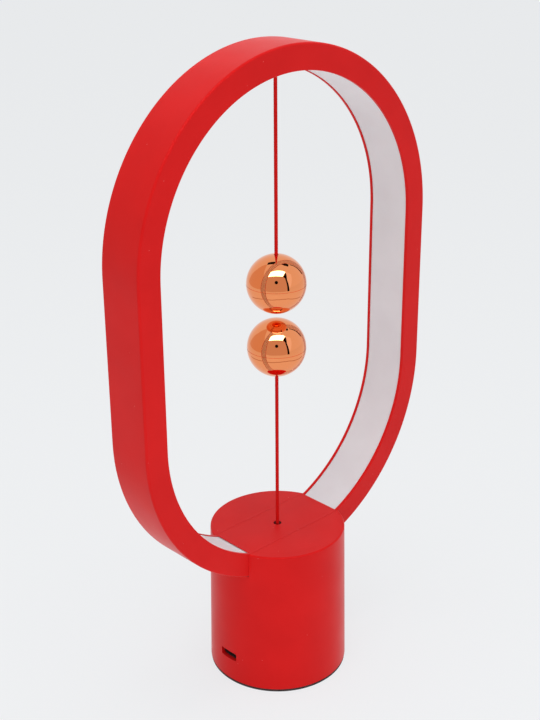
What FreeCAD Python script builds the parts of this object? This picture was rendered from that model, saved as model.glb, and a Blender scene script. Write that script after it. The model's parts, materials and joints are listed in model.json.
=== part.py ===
import FreeCAD, Part
import os
from math import atan2, cos, degrees, radians, sin, sqrt

# A magnetic balance lamp. A stadium-shaped frame stands in a round base, with a glowing band round its
# inside. One ball hangs from the frame's crown, and a second ball, held down by a cord that works the
# switch in the base, is drawn up towards it by a magnet until the cord is tight.
#
# The frame lies in the X-Z plane, the floor is z = 0, and the base's axis is the Z axis.
# All sizes are in millimetres. The shape is the switched-on state, with both cords straight.

V = FreeCAD.Vector

# ---- Base: a round cup that narrows a little to its top, closed below by a plate on a soft pad ----
base_radius = 41.7  # at the bottom
base_top_radius = 40.1
base_height = 91.7
base_wall = 2.4
base_top_thickness = 2.6
base_edge_round = 1.0
base_rim_chamfer = 0.4
pad_thickness = 1.4
pad_inset = 0.8
pad_opening_radius = 16.0
pad_edge_chamfer = 0.4
plate_thickness = 2.5
ballast_height = 8.0
ballast_edge_gap = 0.6
ballast_spigot_radius = 5.0
ballast_spigot_height = 2.0

# ---- Frame: a channel, open on its inner side, bent to a stadium outline ----
frame_inner_radius = 92.5
frame_section = 14.2
frame_straight = 91.0
frame_depth = 29.6
frame_side_wall = 1.8
frame_back_wall = 2.4
frame_edge_round = 1.3
frame_lip_round = 0.4
frame_sink = 7.3  # how far the frame's inner face dips below the base's top
cord_passage_radius = 5.0
lead_passage_radius = 2.2

# ---- Light ----
diffuser_recess = 0.4
diffuser_thickness = 1.5
diffuser_gap_half_width = 26.0  # the band is open where the base hides it
strip_gap_half_width = 24.0
strip_width = 10.0
strip_thickness = 0.8
led_length = 3.5
led_width = 2.8
led_height = 0.8
leds_per_arc = 18
leds_per_side = 5
lead_radius = 0.4
lead_spacing = 2.4
lead_passage_x = 20.0

# ---- Balls, cords and knots ----
ball_radius = 16.8
ball_wall = 1.5
ball_gap = 4.2
ball_seam_chamfer = 0.12
lower_cord_length = 112.2  # from the bend at the base's top to the ball's centre
cord_radius = 1.0
cord_hole_margin = 0.3
base_hole_radius = 2.4
knot_radius = 2.2
knot_sink = 0.3
magnet_radius = 7.0
magnet_height = 5.0
magnet_pocket_wall = 1.4
magnet_floor = 3.3
magnet_cap_height = 1.5
anchor_width = 10.0
anchor_height = 3.5
anchor_knot_rise = 1.5  # from the bridge to the knot's centre

# ---- Pull switch under the frame ----
saddle_height = 8.7
saddle_width = 6.0
saddle_half_depth = 12.0
carrier_thickness = 2.5
carrier_arm_half_width = 9.5
carrier_arm_reach = 32.0
carrier_screw_y = 27.0
carrier_post_radius = 4.0
frame_screw_x = 14.0
frame_boss_radius = 3.2
frame_screw_rise = 4.8  # from the carrier's top to the shoulder under each head
switch_outer_radius = 8.0
switch_length = 20.0
switch_bore_radius = 5.05
switch_roof = 1.5
switch_cap_thickness = 2.5
switch_cap_spigot = 2.0
plunger_travel = 3.0
plunger_flange_radius = 4.6
plunger_flange_height = 3.0
plunger_stem_radius = 1.9
plunger_stem_rise = 3.5  # above the carrier
plunger_rest_gap = 1.0  # left below the flange when it is fully down
contact_ring_height = 1.4
contact_ring_wall = 0.95
contact_gap = 0.1
blade_thickness = 0.6
blade_width = 3.0
blade_tab_reach = 10.0
blade_roof_gap = 1.5
switch_lead_radius = 0.6
spring_radius = 3.2
spring_wire_radius = 0.35
spring_turns = 5

# ---- Board and charging port ----
board_thickness = 1.6
board_half_width = 16.0
board_reach = 24.0  # along +X
board_wall_gap = 0.8
board_post_radius = 3.0
board_post_places = [(-20.0, 10.0), (-20.0, -10.0), (10.0, 10.0), (10.0, -10.0)]
port_width = 12.9
port_height = 5.1
port_corner_round = 1.2
port_centre_z = 17.9
surround_depth = 3.2
surround_margin = 1.9
slot_width = 10.7
slot_height = 3.4
socket_width = 7.6
socket_height = 2.8
socket_length = 7.4
socket_mouth_recess = 1.2
socket_wall = 0.3
socket_cavity_depth = 5.5
socket_corner_round = 0.8
tongue_width = 5.0
tongue_thickness = 0.6
tongue_length = 4.6
lead_plug_size = (6.0, 6.0, 5.0)  # along X, Y and Z
chip_size = (5.0, 5.0, 1.5)
chip_x = -5.5
coil_size = (6.0, 6.0, 3.0)
coil_x = -15.0
capacitor_radius = 2.0
capacitor_height = 5.5
capacitor_place = (2.0, 11.0)

# ---- Screws ----
screw_radius = 1.2
screw_head_radius = 2.4
screw_head_height = 1.6
screw_recess_width = 0.6
screw_recess_depth = 0.7
screw_recess_share = 0.65  # of the head's radius
screw_edge_chamfer = 0.4
screw_engagement = 8.0
board_screw_radius = 0.9
board_screw_head_radius = 2.0
base_screw_inset = 8.5  # from the base's side to the screws' axes
base_boss_radius = 3.6
base_boss_height = 12.0
base_rib_thickness = 2.0
pad_well_margin = 0.8

# ---- Clearances ----
seat_clearance = 0.1  # between pieces that stay together
screw_clearance = 0.05
running_clearance = 0.08
moving_clearance = 0.3  # between pieces that move apart

# ---- Places that follow from the sizes above ----
frame_outer_radius = frame_inner_radius + frame_section
frame_channel_radius = frame_outer_radius - frame_back_wall
frame_half_depth = frame_depth / 2
channel_half_depth = frame_half_depth - frame_side_wall
low_centre_z = base_height - frame_sink + frame_inner_radius
high_centre_z = low_centre_z + frame_straight
frame_sole_z = low_centre_z - frame_outer_radius
frame_joint_z = (low_centre_z + high_centre_z) / 2
frame_top_z = high_centre_z + frame_outer_radius

base_screw_place = (base_radius - base_screw_inset) / sqrt(2)  # both ways from the axis
base_ceiling_z = base_height - base_top_thickness
plate_z = pad_thickness
plate_top_z = plate_z + plate_thickness
boss_top_z = plate_top_z + base_boss_height
base_slope = (base_radius - base_top_radius) / (base_height - plate_z)
plate_wall_radius = base_radius - base_wall - base_slope * (plate_top_z - plate_z)
boss_wall_radius = base_radius - base_wall - base_slope * (boss_top_z - plate_z)
port_wall_radius = base_radius - base_wall - base_slope * (port_centre_z - plate_z)

diffuser_face_radius = frame_inner_radius + diffuser_recess
diffuser_back_radius = diffuser_face_radius + diffuser_thickness
diffuser_crown_z = high_centre_z + diffuser_face_radius
anchor_z = high_centre_z + diffuser_back_radius + seat_clearance
anchor_top_z = anchor_z + anchor_height

bend_reach = cord_radius + moving_clearance
lower_bend_z = base_height + bend_reach
fold_distance = base_radius + bend_reach
lower_fold_z = lower_bend_z + fold_distance
fold_end_gap = 1.45 * cord_radius
upper_bend_z = diffuser_crown_z - bend_reach
lower_ball_z = lower_bend_z + lower_cord_length
upper_ball_z = lower_ball_z + 2 * ball_radius + ball_gap
ball_inner_radius = ball_radius - ball_wall
knot_seat = ball_inner_radius - knot_sink
cord_hole_radius = cord_radius + cord_hole_margin

carrier_top_z = frame_sole_z - saddle_height
carrier_z = carrier_top_z - carrier_thickness
switch_bottom_z = carrier_z - switch_length
switch_roof_z = carrier_z - switch_roof
flange_z = switch_bottom_z + switch_cap_spigot + plunger_rest_gap + plunger_travel
flange_top_z = flange_z + plunger_flange_height
stem_top_z = carrier_top_z + plunger_stem_rise
frame_screw_z = carrier_top_z + frame_screw_rise
ring_z = flange_z + (plunger_flange_height - contact_ring_height) / 2
ring_radius = switch_bore_radius - contact_gap

board_top_z = port_centre_z - socket_height / 2
board_z = board_top_z - board_thickness
surround_back_x = -(port_wall_radius - seat_clearance - surround_depth)
socket_mouth_x = -(port_wall_radius - seat_clearance - socket_mouth_recess)

screw_hole_radius = screw_radius + screw_clearance
passage_radius = screw_radius + 2 * screw_clearance
well_radius = screw_head_radius + pad_well_margin


def cylinder(radius, z_low, z_high, x=0.0, y=0.0):
    return Part.makeCylinder(radius, z_high - z_low, V(x, y, z_low))


def tube(outer, inner, z_low, z_high, x=0.0, y=0.0):
    return cylinder(outer, z_low, z_high, x, y).cut(cylinder(inner, z_low - 1, z_high + 1, x, y))


def block(x_low, x_high, y_low, y_high, z_low, z_high):
    return Part.makeBox(x_high - x_low, y_high - y_low, z_high - z_low, V(x_low, y_low, z_low))


def ball(radius, z=0.0):
    return Part.makeSphere(radius, V(0, 0, z))


def stadium(radius, half_depth):
    """A solid with the frame's outline at that distance from its arcs' centres."""
    left_low = V(-radius, -half_depth, low_centre_z)
    left_high = V(-radius, -half_depth, high_centre_z)
    right_high = V(radius, -half_depth, high_centre_z)
    right_low = V(radius, -half_depth, low_centre_z)
    crown = V(0, -half_depth, high_centre_z + radius)
    sole = V(0, -half_depth, low_centre_z - radius)
    edges = [
        Part.LineSegment(left_low, left_high).toShape(),
        Part.Arc(left_high, crown, right_high).toShape(),
        Part.LineSegment(right_high, right_low).toShape(),
        Part.Arc(right_low, sole, left_low).toShape(),
    ]
    return Part.Face(Part.Wire(edges)).extrude(V(0, 2 * half_depth, 0))


def band(outer, inner, half_depth, gap_half_width):
    """A strip round the inside of the frame, open at its lowest stretch."""
    strip = stadium(outer, half_depth).cut(stadium(inner, half_depth + 1))
    gap = block(-gap_half_width, gap_half_width, -frame_depth, frame_depth, 0, low_centre_z)
    return strip.cut(gap)


def height_on_arc(radius, x):
    """Height at x of the lower arc of that radius."""
    return low_centre_z - sqrt(radius**2 - x**2)


def rounded_bar(x_low, x_high, width, height, z, corner):
    """A bar along X, centred on height z, with its four long edges rounded."""
    bar = block(x_low, x_high, -width / 2, width / 2, z - height / 2, z + height / 2)
    long_edges = [e for e in bar.Edges if e.BoundBox.XLength > x_high - x_low - 0.01]
    return bar.makeFillet(corner, long_edges)


def screw(x, y, seat_z, length, down=False, radius=screw_radius, head_radius=screw_head_radius):
    """A cross-head screw. Its head lies below seat_z and its shank goes up, or the other way round."""
    shank = cylinder(radius, seat_z, seat_z + length)
    head = cylinder(head_radius, seat_z - screw_head_height, seat_z)
    edge = [e for e in head.Edges if e.BoundBox.ZMax < seat_z - screw_head_height + 0.01]
    head = head.makeChamfer(screw_edge_chamfer, edge)
    reach = screw_recess_share * head_radius
    half = screw_recess_width / 2
    low = seat_z - screw_head_height - 1
    high = seat_z - screw_head_height + screw_recess_depth
    cross = block(-reach, reach, -half, half, low, high).fuse(block(-half, half, -reach, reach, low, high))
    solid = head.cut(cross).fuse(shank).removeSplitter()
    if down:
        solid.rotate(V(0, 0, seat_z), V(1, 0, 0), 180)
    solid.translate(V(x, y, 0))
    return solid


def cord_run(z_low, z_high, round_low=False, round_high=False):
    """A straight, upright stretch of cord, with a round end where it meets a fold."""
    run = cylinder(cord_radius, z_low, z_high)
    if round_low:
        run = run.fuse(ball(cord_radius, z_low))
    if round_high:
        run = run.fuse(ball(cord_radius, z_high))
    return run.removeSplitter()


def save(name, shape):
    solids = shape.Solids
    if not solids or not shape.isValid():
        raise ValueError(f"{name} is not a sound solid")
    shape.exportStep(f"parts/{name}.step")
    print(f"{name}: {len(solids)} solid(s), {shape.Volume:.1f} mm3")


# ---------------------------------------------------------------- the frame


def make_frame_shell():
    frame = stadium(frame_outer_radius, frame_half_depth)
    outer_edges = [e for e in frame.Edges if e.BoundBox.YLength < 0.01]
    frame = frame.makeFillet(frame_edge_round, outer_edges)
    frame = frame.cut(stadium(frame_inner_radius, frame_depth))
    lip_edges = [
        e
        for e in frame.Edges
        if e.BoundBox.YLength < 0.01 and max(abs(v.X) for v in e.Vertexes) < frame_inner_radius + 0.01
    ]
    frame = frame.makeFillet(frame_lip_round, lip_edges)
    frame = frame.cut(stadium(frame_channel_radius, channel_half_depth))
    low, high = frame_sole_z - 1, low_centre_z - frame_inner_radius
    frame = frame.cut(cylinder(cord_passage_radius, low, high))
    frame = frame.cut(cylinder(lead_passage_radius, low, high, lead_passage_x))
    for side in (-1, 1):
        frame = frame.cut(cylinder(passage_radius, low, high, side * frame_screw_x))
    return frame


def save_frame():
    """The frame is moulded in four quarters, welded face to face."""
    frame = make_frame_shell()
    reach, sole, crown = frame_outer_radius + 1, frame_sole_z - 1, frame_top_z + 1
    for name, left, right, low, high in (
        ("frame_lower_left", -reach, 0, sole, frame_joint_z),
        ("frame_lower_right", 0, reach, sole, frame_joint_z),
        ("frame_upper_left", -reach, 0, frame_joint_z, crown),
        ("frame_upper_right", 0, reach, frame_joint_z, crown),
    ):
        save(name, frame.common(block(left, right, -frame_depth, frame_depth, low, high)))


def make_diffuser():
    width = channel_half_depth - seat_clearance
    light_band = band(diffuser_back_radius, diffuser_face_radius, width, diffuser_gap_half_width)
    crown_hole = cylinder(cord_hole_radius + cord_hole_margin, diffuser_crown_z - 2, diffuser_crown_z + 5)
    return light_band.cut(crown_hole)


def make_led_strip():
    inner = frame_channel_radius - strip_thickness
    return band(frame_channel_radius, inner, strip_width / 2, strip_gap_half_width)


def make_led_chips():
    """Small lamps all along the strip, facing the band, with none over the cord at the crown."""
    back = frame_channel_radius - strip_thickness - seat_clearance / 2
    front = back - led_height
    half_length, half_width = led_length / 2, led_width / 2
    chips = []
    for centre_z, first in ((high_centre_z, 0.0), (low_centre_z, 180.0)):
        for i in range(leds_per_arc):
            angle = first + 180.0 * (i + 0.5) / leds_per_arc
            x = back * cos(radians(angle))
            below = sin(radians(angle)) < 0
            if below and abs(x) < strip_gap_half_width + led_length:
                continue
            chip = block(front, back, -half_width, half_width, -half_length, half_length)
            chip.rotate(V(0, 0, 0), V(0, -1, 0), angle)
            chip.translate(V(0, 0, centre_z))
            chips.append(chip)
    for side in (-1, 1):
        for i in range(leds_per_side):
            z = low_centre_z + frame_straight * (i + 0.5) / leds_per_side
            x_low, x_high = sorted((side * front, side * back))
            chips.append(block(x_low, x_high, -half_width, half_width, z - half_length, z + half_length))
    return Part.makeCompound(chips)


def make_string_anchor():
    """A bridge across the channel at the crown, with a hole that the upper cord is knotted over."""
    half = anchor_width / 2
    bridge = block(-half, half, -channel_half_depth, channel_half_depth, anchor_z, anchor_top_z)
    return bridge.cut(cylinder(cord_hole_radius, anchor_z - 1, anchor_top_z + 1))


def make_anchor_knot():
    knot = ball(knot_radius, anchor_top_z + anchor_knot_rise)
    return knot.cut(cylinder(2 * knot_radius, anchor_top_z - 3 * knot_radius, anchor_top_z))


# ----------------------------------------------------------------- the base


def base_screw_places():
    return [(sx * base_screw_place, sy * base_screw_place) for sx in (-1, 1) for sy in (-1, 1)]


def base_cone(inset, z_low, z_high):
    """A round solid with the slope of the base's side, that far inside it."""
    low, high = (base_radius - inset - base_slope * (z - plate_z) for z in (z_low, z_high))
    return Part.makeCone(low, high, z_high - z_low, V(0, 0, z_low))


def make_base_shell():
    shell = base_cone(0, plate_z, base_height)
    top_edge = [e for e in shell.Edges if e.BoundBox.ZMin > base_height - 0.01]
    shell = shell.makeFillet(base_edge_round, top_edge)
    rim_edge = [e for e in shell.Edges if e.BoundBox.ZMax < plate_z + 0.01]
    shell = shell.makeChamfer(base_rim_chamfer, rim_edge)
    shell = shell.cut(base_cone(base_wall, plate_z - 1, base_ceiling_z))

    wall_middle = boss_wall_radius + base_wall / 2
    for x, y in base_screw_places():
        boss = cylinder(base_boss_radius, plate_top_z, boss_top_z, x, y)
        half_rib = base_rib_thickness / 2
        rib = block(0, wall_middle, -half_rib, half_rib, plate_top_z, boss_top_z)
        rib.rotate(V(0, 0, 0), V(0, 0, 1), degrees(atan2(y, x)))
        rib = rib.cut(cylinder(sqrt(x**2 + y**2), plate_top_z - 1, boss_top_z + 1))
        shell = shell.fuse(boss.fuse(rib))
    for side in (-1, 1):
        post = cylinder(carrier_post_radius, carrier_top_z, base_ceiling_z, 0, side * carrier_screw_y)
        shell = shell.fuse(post)
    shell = shell.removeSplitter()

    for x, y in base_screw_places():
        shell = shell.cut(cylinder(screw_hole_radius, plate_top_z - 1, boss_top_z - 1, x, y))
    for side in (-1, 1):
        top = carrier_top_z + screw_engagement + 1
        hole = cylinder(screw_hole_radius, carrier_top_z - 1, top, 0, side * carrier_screw_y)
        shell = shell.cut(hole)
    shell = shell.cut(stadium(frame_outer_radius + seat_clearance, frame_half_depth + seat_clearance))
    port = rounded_bar(-base_radius - 1, 0, port_width, port_height, port_centre_z, port_corner_round)
    return shell.cut(port)


def make_string_plate():
    """The middle of the base's top, between the frame's faces, with the hole that the cord comes out of."""
    low = low_centre_z - frame_outer_radius
    slab = block(-base_radius, base_radius, -base_radius, base_radius, low, base_height)
    plate = stadium(frame_inner_radius, frame_half_depth).common(slab)
    channel = stadium(frame_channel_radius, channel_half_depth)
    for side in (-1, 1):
        boss = cylinder(frame_boss_radius, low, base_ceiling_z, side * frame_screw_x)
        plate = plate.fuse(boss.common(channel))
    plate = plate.removeSplitter()
    for side in (-1, 1):
        floor = height_on_arc(frame_channel_radius, frame_screw_x)
        plate = plate.cut(cylinder(screw_hole_radius, low, floor + screw_engagement, side * frame_screw_x))
    return plate.cut(cylinder(base_hole_radius, low, base_height + 1))


def make_bottom_plate():
    plate = cylinder(plate_wall_radius - seat_clearance, plate_z, plate_top_z)
    plate = plate.fuse(cylinder(ballast_spigot_radius, plate_top_z, plate_top_z + ballast_spigot_height))
    for x, y in board_post_places:
        plate = plate.fuse(cylinder(board_post_radius, plate_top_z, board_z, x, y))
    plate = plate.removeSplitter()
    for x, y in board_post_places:
        hole = cylinder(board_screw_radius + screw_clearance, board_z - screw_engagement, board_z + 1, x, y)
        plate = plate.cut(hole)
    head_top = plate_z + screw_head_height
    for x, y in base_screw_places():
        plate = plate.cut(cylinder(passage_radius, plate_z - 1, plate_top_z + 1, x, y))
        plate = plate.cut(cylinder(screw_head_radius + seat_clearance, plate_z - 1, head_top, x, y))
    return plate


def make_foot_pad():
    pad = cylinder(base_radius - pad_inset, 0, pad_thickness)
    lower_edge = [e for e in pad.Edges if e.BoundBox.ZMax < 0.01]
    pad = pad.makeChamfer(pad_edge_chamfer, lower_edge)
    pad = pad.cut(cylinder(pad_opening_radius, -1, pad_thickness + 1))
    for x, y in base_screw_places():
        pad = pad.cut(cylinder(well_radius, -1, pad_thickness + 1, x, y))
    return pad


def make_ballast_weight():
    radius = sqrt(2) * base_screw_place - base_boss_radius - ballast_edge_gap
    weight = cylinder(radius, plate_top_z, plate_top_z + ballast_height)
    spigot = ballast_spigot_radius + seat_clearance
    weight = weight.cut(cylinder(spigot, plate_top_z - 1, plate_top_z + ballast_height + 1))
    for x, y in board_post_places:
        hole = board_post_radius + moving_clearance
        weight = weight.cut(cylinder(hole, plate_top_z - 1, plate_top_z + ballast_height + 1, x, y))
    return weight


def make_base_screws():
    seat = plate_z + screw_head_height
    length = plate_top_z + screw_engagement - seat
    return Part.makeCompound([screw(x, y, seat, length) for x, y in base_screw_places()])


# ----------------------------------------------------- the board and its port


def make_circuit_board():
    board = block(surround_back_x, board_reach, -board_half_width, board_half_width, board_z, board_top_z)
    board = board.common(cylinder(port_wall_radius - board_wall_gap, board_z, board_top_z))
    hole = board_screw_radius + 2 * screw_clearance
    for x, y in board_post_places:
        board = board.cut(cylinder(hole, board_z - 1, board_top_z + 1, x, y))
    return board


def make_board_screws():
    screws = [
        screw(x, y, board_top_z, screw_engagement, True, board_screw_radius, board_screw_head_radius)
        for x, y in board_post_places
    ]
    return Part.makeCompound(screws)


def make_board_components():
    """The control chip, a coil, two capacitors and the plug that the light's leads go into."""
    pieces = []
    boxes = ((lead_passage_x, lead_plug_size), (chip_x, chip_size), (coil_x, coil_size))
    for x, (length, width, height) in boxes:
        ends = (x - length / 2, x + length / 2, -width / 2, width / 2)
        pieces.append(block(*ends, board_top_z, board_top_z + height))
    x, y = capacitor_place
    for side in (-1, 1):
        pieces.append(cylinder(capacitor_radius, board_top_z, board_top_z + capacitor_height, x, side * y))
    return Part.makeCompound(pieces)


def make_port_surround():
    reach = plate_wall_radius
    width = port_width + 2 * surround_margin
    height = port_height + 2 * surround_margin
    piece = rounded_bar(-reach, surround_back_x, width, height, port_centre_z, port_corner_round)
    piece = piece.common(base_cone(base_wall + seat_clearance, port_centre_z - height, port_centre_z + height))
    ends = (-reach - 1, surround_back_x + 1)
    return piece.cut(rounded_bar(*ends, slot_width, slot_height, port_centre_z, port_corner_round))


def make_charging_socket():
    back = socket_mouth_x + socket_length
    shell = rounded_bar(socket_mouth_x, back, socket_width, socket_height, port_centre_z, socket_corner_round)
    cavity = rounded_bar(
        socket_mouth_x - 1,
        socket_mouth_x + socket_cavity_depth,
        socket_width - 2 * socket_wall,
        socket_height - 2 * socket_wall,
        port_centre_z,
        socket_corner_round - socket_wall,
    )
    return shell.cut(cavity)


def make_socket_tongue():
    root = socket_mouth_x + socket_cavity_depth
    half, thick = tongue_width / 2, tongue_thickness / 2
    return block(root - tongue_length, root, -half, half, port_centre_z - thick, port_centre_z + thick)


# ------------------------------------------------------------- the pull switch


def blade(side, inner=switch_bore_radius, growth=0.0):
    """A contact blade in the bore's wall and its tab through the wall, grown for the slot that holds it."""
    half = blade_width / 2 + growth
    top = switch_roof_z - blade_roof_gap + growth
    foot = ring_z - growth
    strip = block(inner, switch_bore_radius + blade_thickness + growth, -half, half, foot, top)
    tab = block(inner, blade_tab_reach + growth, -half, half, top - blade_thickness - 2 * growth, top)
    shape = strip.fuse(tab).removeSplitter()
    if side < 0:
        shape.rotate(V(0, 0, 0), V(0, 0, 1), 180)
    return shape


def make_switch_carrier():
    """The arm across the base that holds the frame down, with the switch's barrel under it."""
    arm = block(
        -carrier_arm_half_width,
        carrier_arm_half_width,
        -carrier_arm_reach,
        carrier_arm_reach,
        carrier_z,
        carrier_top_z,
    )
    saddle_reach = frame_screw_x + saddle_width / 2
    depth = saddle_half_depth
    carrier = arm.fuse(block(-saddle_reach, saddle_reach, -depth, depth, carrier_z, carrier_top_z))
    inner = frame_screw_x - saddle_width / 2
    for low, high in ((-saddle_reach, -inner), (inner, saddle_reach)):
        carrier = carrier.fuse(block(low, high, -depth, depth, carrier_z, low_centre_z - frame_inner_radius))
    carrier = carrier.cut(stadium(frame_outer_radius, frame_depth))
    carrier = carrier.fuse(cylinder(switch_outer_radius, switch_bottom_z, carrier_top_z)).removeSplitter()

    carrier = carrier.cut(cylinder(switch_bore_radius, switch_bottom_z - 1, switch_roof_z))
    stem_hole = plunger_stem_radius + running_clearance
    carrier = carrier.cut(cylinder(stem_hole, switch_roof_z - 1, carrier_top_z + 1))
    for side in (-1, 1):
        x = side * frame_screw_x
        carrier = carrier.cut(cylinder(passage_radius, carrier_z - 1, low_centre_z, x))
        carrier = carrier.cut(cylinder(screw_head_radius + seat_clearance, carrier_z - 1, frame_screw_z, x))
        y = side * carrier_screw_y
        carrier = carrier.cut(cylinder(passage_radius, carrier_z - 1, carrier_top_z + 1, 0, y))
        carrier = carrier.cut(blade(side, switch_bore_radius - 1, screw_clearance))
    return carrier


def make_frame_screws():
    tip = height_on_arc(frame_channel_radius, frame_screw_x) + screw_engagement - 1
    length = tip - frame_screw_z
    return Part.makeCompound([screw(side * frame_screw_x, 0, frame_screw_z, length) for side in (-1, 1)])


def make_carrier_screws():
    length = carrier_thickness + screw_engagement
    return Part.makeCompound([screw(0, side * carrier_screw_y, carrier_z, length) for side in (-1, 1)])


def make_switch_cap():
    cap = cylinder(switch_outer_radius, switch_bottom_z - switch_cap_thickness, switch_bottom_z)
    spigot_radius = switch_bore_radius - seat_clearance
    spigot = cylinder(spigot_radius, switch_bottom_z, switch_bottom_z + switch_cap_spigot)
    return cap.fuse(spigot).removeSplitter()


def make_switch_plunger():
    plunger = cylinder(plunger_flange_radius, flange_z, flange_top_z)
    plunger = plunger.fuse(cylinder(plunger_stem_radius, flange_top_z, stem_top_z)).removeSplitter()
    groove = tube(2 * ring_radius, ring_radius - contact_ring_wall, ring_z, ring_z + contact_ring_height)
    return plunger.cut(groove)


def make_contact_ring():
    return tube(ring_radius, ring_radius - contact_ring_wall, ring_z, ring_z + contact_ring_height)


def make_contact_blades():
    return Part.makeCompound([blade(side) for side in (-1, 1)])


def make_return_spring():
    """A coil spring, squeezed between the flange and the barrel's roof while the lamp is on."""
    height = switch_roof_z - flange_top_z - 2 * spring_wire_radius - 2 * seat_clearance
    start_z = flange_top_z + spring_wire_radius + seat_clearance
    line = Part.makeHelix(height / spring_turns, height, spring_radius)
    circle = Part.Circle(V(spring_radius, 0, 0), V(0, 1, 0), spring_wire_radius)
    section = Part.Wire([circle.toShape()])
    coil = Part.Wire(line).makePipeShell([section], True, True)
    coil.translate(V(0, 0, start_z))
    return coil


def bent_lead(start, corner, end, radius, bend_radius):
    """A wire along two runs at right angles, joined by an arc."""
    first = (corner - start).normalize()
    second = (end - corner).normalize()
    arc_start = corner - first * bend_radius
    arc_end = corner + second * bend_radius
    middle = corner + (second - first).normalize() * bend_radius * (sqrt(2) - 1)
    route = Part.Wire(
        [
            Part.LineSegment(start, arc_start).toShape(),
            Part.Arc(arc_start, middle, arc_end).toShape(),
            Part.LineSegment(arc_end, end).toShape(),
        ]
    )
    section = Part.Wire([Part.Circle(start, first, radius).toShape()])
    return route.makePipeShell([section], True, True)


def make_led_leads():
    """Two wires from the strip's end, through the frame's floor and down to the plug on the board."""
    z = height_on_arc(frame_channel_radius - strip_thickness / 2, strip_gap_half_width) + 2 * seat_clearance
    end_z = board_top_z + lead_plug_size[2]
    run = strip_gap_half_width - lead_passage_x
    leads = []
    for side in (-1, 1):
        y = side * lead_spacing / 2
        start = V(strip_gap_half_width, y, z)
        corner = V(lead_passage_x, y, z)
        leads.append(bent_lead(start, corner, V(lead_passage_x, y, end_z), lead_radius, 0.45 * run))
    return Part.makeCompound(leads)


def make_switch_leads():
    """Two wires from the blades' tabs down to the board."""
    tab_z = switch_roof_z - blade_roof_gap - blade_thickness
    x = blade_tab_reach - switch_lead_radius
    leads = [cylinder(switch_lead_radius, board_top_z, tab_z, side * x) for side in (-1, 1)]
    return Part.makeCompound(leads)


# -------------------------------------------------------------------- the balls
# A ball is made with its centre at the origin, its cord hole at the top and its magnet at the bottom.


def half_shell(side):
    shell = ball(ball_radius).cut(ball(ball_inner_radius))
    reach = 2 * ball_radius
    low, high = sorted((0, side * reach))
    half = shell.common(block(-reach, reach, -reach, reach, low, high))
    seam = [
        e
        for e in half.Edges
        if e.BoundBox.ZLength < 0.01 and e.BoundBox.XLength > 2 * ball_radius - 0.01
    ]
    return half.makeChamfer(ball_seam_chamfer, seam)


def make_cord_half():
    return half_shell(1).cut(cylinder(cord_hole_radius, 0, ball_radius + 1))


def make_magnet_half():
    floor_z = -ball_radius + magnet_floor
    rim_z = floor_z + magnet_height
    seat = cylinder(magnet_radius + magnet_pocket_wall, -ball_radius, rim_z)
    seat = seat.common(ball(ball_radius - ball_wall / 2))
    half = half_shell(-1).fuse(seat).removeSplitter()
    return half.cut(cylinder(magnet_radius + seat_clearance, floor_z, rim_z + 1))


def make_magnet():
    floor_z = -ball_radius + magnet_floor
    return cylinder(magnet_radius, floor_z, floor_z + magnet_height)


def make_magnet_cap():
    rim_z = -ball_radius + magnet_floor + magnet_height
    return cylinder(magnet_radius + magnet_pocket_wall, rim_z, rim_z + magnet_cap_height)


def make_ball_knot():
    centre_z = knot_seat - sqrt(knot_radius**2 - (1.3 * cord_radius) ** 2)
    knot = ball(knot_radius, centre_z)
    return knot.cut(cylinder(2 * knot_radius, knot_seat, knot_seat + 2 * knot_radius))


ball_pieces = {
    "cord_half": make_cord_half,
    "magnet_half": make_magnet_half,
    "magnet": make_magnet,
    "magnet_cap": make_magnet_cap,
    "knot": make_ball_knot,
}


def save_ball(name, centre_z, magnet_up):
    for piece, make in ball_pieces.items():
        shape = make()
        if magnet_up:
            shape.rotate(V(0, 0, 0), V(1, 0, 0), 180)
        shape.translate(V(0, 0, centre_z))
        save(f"{name}_{piece}", shape)


# -------------------------------------------------------------------- the cords


def save_cords():
    """Each cord is cut where it bends when its ball is moved."""
    save("upper_string_exit", cord_run(upper_bend_z + bend_reach, anchor_top_z))
    save("upper_string_bend", ball(cord_radius, upper_bend_z))
    save("upper_string", cord_run(upper_ball_z + knot_seat, upper_bend_z - bend_reach))

    exit_z = low_centre_z - frame_inner_radius
    save("plunger_string", cord_run(stem_top_z, exit_z))
    save("lower_string_exit", cord_run(exit_z + moving_clearance, lower_bend_z - bend_reach))
    save("lower_string_bend", ball(cord_radius, lower_bend_z))
    run_end = lower_fold_z - fold_end_gap
    save("lower_string_run", cord_run(lower_bend_z + bend_reach, run_end, round_high=True))
    drop_start = lower_fold_z + fold_end_gap
    save("lower_string_drop", cord_run(drop_start, lower_ball_z - knot_seat, round_low=True))


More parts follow.
